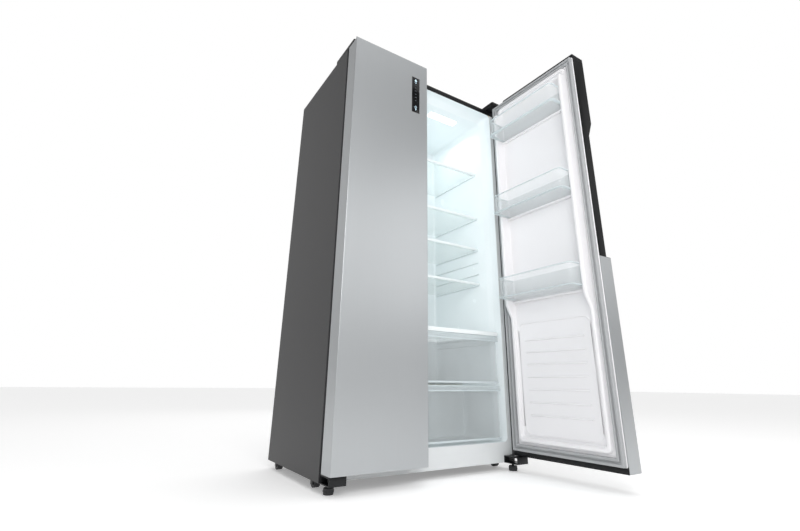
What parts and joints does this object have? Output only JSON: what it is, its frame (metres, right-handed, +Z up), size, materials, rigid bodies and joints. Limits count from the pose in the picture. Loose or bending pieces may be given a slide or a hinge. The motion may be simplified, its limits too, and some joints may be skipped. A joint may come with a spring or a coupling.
{
  "type": "side by side refrigerator",
  "caption": "Side by side refrigerator freezer with two hinged doors, glass shelves, door bins, sliding crispers and drawers, recessed handles, feet and rollers.",
  "frame": {"origin": "on the floor, midway between the cabinet's sides, under the front faces of the closed doors", "axes": "+Z up, +X to the right as seen by a person in front of the doors, +Y towards the wall behind"},
  "size_m": [0.9417, 1.1009, 1.79],
  "materials": {
    "graphite_steel": "matt",
    "silver_steel": "fine brushed",
    "zinc_steel": "satin",
    "black_steel": "satin",
    "light_steel": "satin",
    "foam": "cellular",
    "white_plastic": "satin",
    "black_plastic": "satin",
    "grey_plastic": "satin",
    "clear_plastic": "clear",
    "clear_glass": "clear",
    "black_glass": "gloss",
    "lamp": "frosted",
    "seal": "satin",
    "black_rubber": "matt",
    "aluminium": "satin",
    "screw_steel": "satin"
  },
  "bodies": {
    "cabinet": {"side_panel_left": "graphite_steel", "side_panel_right": "graphite_steel", "top_panel": "graphite_steel", "back_panel": "zinc_steel", "base_frame": "black_steel", "front_frame": "light_steel", "insulation_foam": "foam", "fridge_liner": "white_plastic", "freezer_liner": "white_plastic", "top_hinges": "black_steel", "hinge_covers": "black_plastic", "lower_hinges": "black_steel", "compressor": "black_steel", "compressor_mounts": "black_rubber", "condenser": "aluminium", "fan_motors": "black_plastic", "machine_cover": "black_steel", "cord_gland": "black_rubber", "drip_tray": "black_plastic", "evaporator": "aluminium", "evaporator_cover": "white_plastic", "fridge_duct_panel": "white_plastic", "cabinet_lamps": "lamp", "control_box": "black_plastic", "fridge_shelf_1": "clear_glass", "fridge_shelf_2": "clear_glass", "fridge_shelf_3": "clear_glass", "fridge_shelf_4": "clear_glass", "freezer_shelves": "clear_glass", "shelf_trims": "white_plastic", "crisper_cover_glass": "clear_glass", "crisper_cover_frame": "white_plastic", "cabinet_screws": "screw_steel"},
    "fridge_door": {"fridge_door_skin": "silver_steel", "fridge_door_end_caps": "black_plastic", "fridge_door_handle": "black_plastic", "fridge_door_foam": "foam", "fridge_door_liner": "white_plastic", "fridge_door_gasket": "seal", "fridge_door_basket_1": "clear_plastic", "fridge_door_basket_2": "clear_plastic", "fridge_door_basket_3": "clear_plastic"},
    "freezer_door": {"freezer_door_skin": "silver_steel", "freezer_door_end_caps": "black_plastic", "freezer_door_handle": "grey_plastic", "freezer_door_foam": "foam", "freezer_door_liner": "white_plastic", "freezer_door_gasket": "seal", "freezer_door_baskets": "clear_plastic", "display_panel": "black_glass"},
    "condenser_fan_body": {"condenser_fan": "black_plastic"},
    "evaporator_fan_body": {"evaporator_fan": "grey_plastic"},
    "rear_rollers_body": {"rear_rollers": "grey_plastic"},
    "front_rollers_body": {"front_rollers": "grey_plastic"},
    "front_foot_left_body": {"front_foot_left": "grey_plastic"},
    "front_foot_right_body": {"front_foot_right": "grey_plastic"},
    "crisper_upper_body": {"crisper_upper": "clear_plastic"},
    "crisper_lower_body": {"crisper_lower": "clear_plastic"},
    "freezer_drawer_upper_body": {"freezer_drawer_upper": "clear_plastic"},
    "freezer_drawer_lower_body": {"freezer_drawer_lower": "clear_plastic"}
  },
  "joints": [
    {"name": "fridge_door_hinge", "type": "hinge", "parent": "cabinet", "child": "fridge_door", "pos_m": [0.4385, 0.047, 0.9], "axis": [0, 0, 1], "range_deg": [-91, 34]},
    {"name": "freezer_door_hinge", "type": "hinge", "parent": "cabinet", "child": "freezer_door", "pos_m": [-0.4385, 0.047, 0.9], "axis": [0, 0, -1], "range_deg": [0, 125]},
    {"name": "crisper_upper_slide", "type": "slide", "parent": "cabinet", "child": "crisper_upper_body", "axis": [0, -1, 0], "range_m": [0, 0.26]},
    {"name": "crisper_lower_slide", "type": "slide", "parent": "cabinet", "child": "crisper_lower_body", "axis": [0, -1, 0], "range_m": [0, 0.13]},
    {"name": "freezer_drawer_upper_slide", "type": "slide", "parent": "cabinet", "child": "freezer_drawer_upper_body", "axis": [0, -1, 0], "range_m": [0, 0.09]},
    {"name": "freezer_drawer_lower_slide", "type": "slide", "parent": "cabinet", "child": "freezer_drawer_lower_body", "axis": [0, -1, 0], "range_m": [0, 0.09]},
    {"name": "condenser_fan_spin", "type": "hinge", "parent": "cabinet", "child": "condenser_fan_body", "pos_m": [0, 0.521, 0.143], "axis": [1, 0, 0], "continuous": true},
    {"name": "evaporator_fan_spin", "type": "hinge", "parent": "cabinet", "child": "evaporator_fan_body", "pos_m": [-0.257, 0.524, 0.94], "axis": [0, 1, 0], "continuous": true},
    {"name": "rear_roller_spin", "type": "hinge", "parent": "cabinet", "child": "rear_rollers_body", "pos_m": [0, 0.582, 0.02], "axis": [1, 0, 0], "continuous": true},
    {"name": "front_roller_spin", "type": "hinge", "parent": "cabinet", "child": "front_rollers_body", "pos_m": [0, 0.184, 0.0195], "axis": [1, 0, 0], "continuous": true},
    {"name": "left_foot_screw", "type": "hinge", "parent": "cabinet", "child": "front_foot_left_body", "pos_m": [-0.4175, 0.073, 0.02], "axis": [0, 0, 1], "continuous": true},
    {"name": "right_foot_screw", "type": "hinge", "parent": "cabinet", "child": "front_foot_right_body", "pos_m": [0.4175, 0.073, 0.02], "axis": [0, 0, 1], "continuous": true}
  ],
  "couplings": [
    {"joint": "freezer_drawer_upper_slide", "follows": "freezer_door_hinge", "m_per_rad": 0.04},
    {"joint": "freezer_drawer_lower_slide", "follows": "freezer_door_hinge", "m_per_rad": 0.04}
  ]
}
